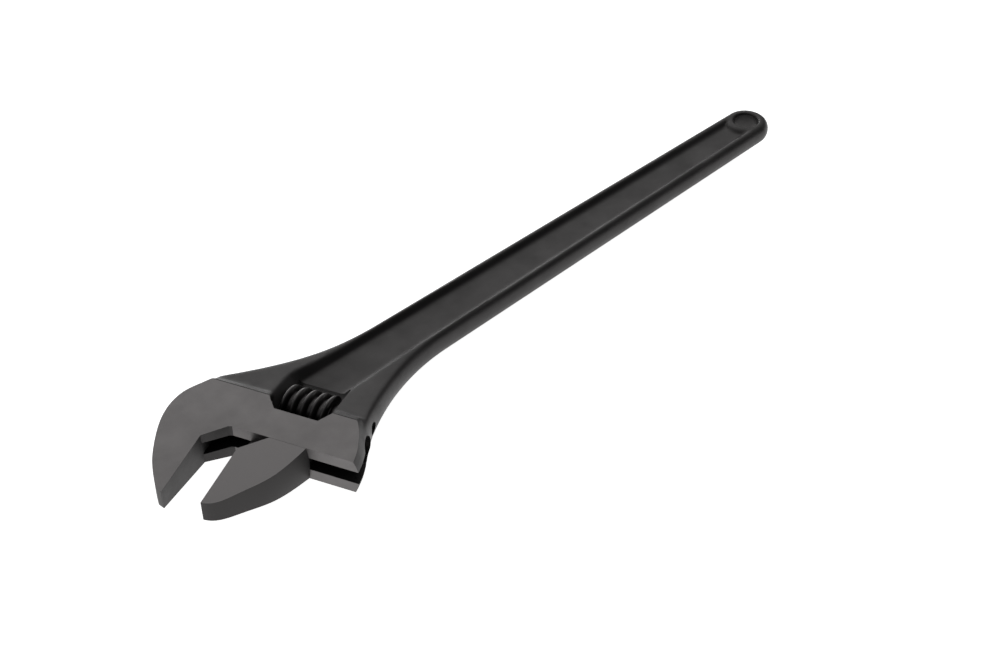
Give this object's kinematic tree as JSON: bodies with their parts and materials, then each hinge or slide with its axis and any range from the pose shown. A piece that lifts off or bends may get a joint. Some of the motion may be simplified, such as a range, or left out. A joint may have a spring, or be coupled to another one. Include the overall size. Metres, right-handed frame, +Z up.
{
  "type": "adjustable wrench",
  "caption": "Adjustable wrench with a fixed jaw forged in one with its long handle, and a sliding jaw that a knurled worm in the head moves along a rail.",
  "frame": {"origin": "centre of the bounding box on the surface that the wrench lies on", "axes": "+X along the handle from the jaws to the hang hole, +Y across the handle, +Z up out of the upper face"},
  "size_m": [0.6098, 0.1386, 0.0337],
  "materials": {
    "forged_body": "dark grey phosphate over forged steel, with satin ground faces",
    "jaw_steel": "dark grey phosphate over satin ground steel",
    "worm_steel": "dark oiled turned steel",
    "pin_steel": "dark turned steel",
    "spring_steel": "plain drawn wire"
  },
  "bodies": {
    "frame": {"wrench_body": "forged_body", "worm_pin": "pin_steel", "worm_spring": "spring_steel"},
    "jaw": {"movable_jaw": "jaw_steel"},
    "worm": {"adjusting_worm": "worm_steel"}
  },
  "joints": [
    {"name": "worm_spin", "type": "hinge", "parent": "frame", "child": "worm", "pos_m": [-0.18273, 0.0036, 0.01684], "axis": [0.3827, -0.9239, 0], "range_deg": [-1363.86, 1609.64]},
    {"name": "jaw_slide", "type": "slide", "parent": "frame", "child": "jaw", "axis": [0.3827, -0.9239, 0], "range_m": [-0.02831, 0.03341]}
  ],
  "couplings": [
    {"joint": "worm_spin", "follows": "jaw_slide", "rad_per_m": 841.12}
  ]
}
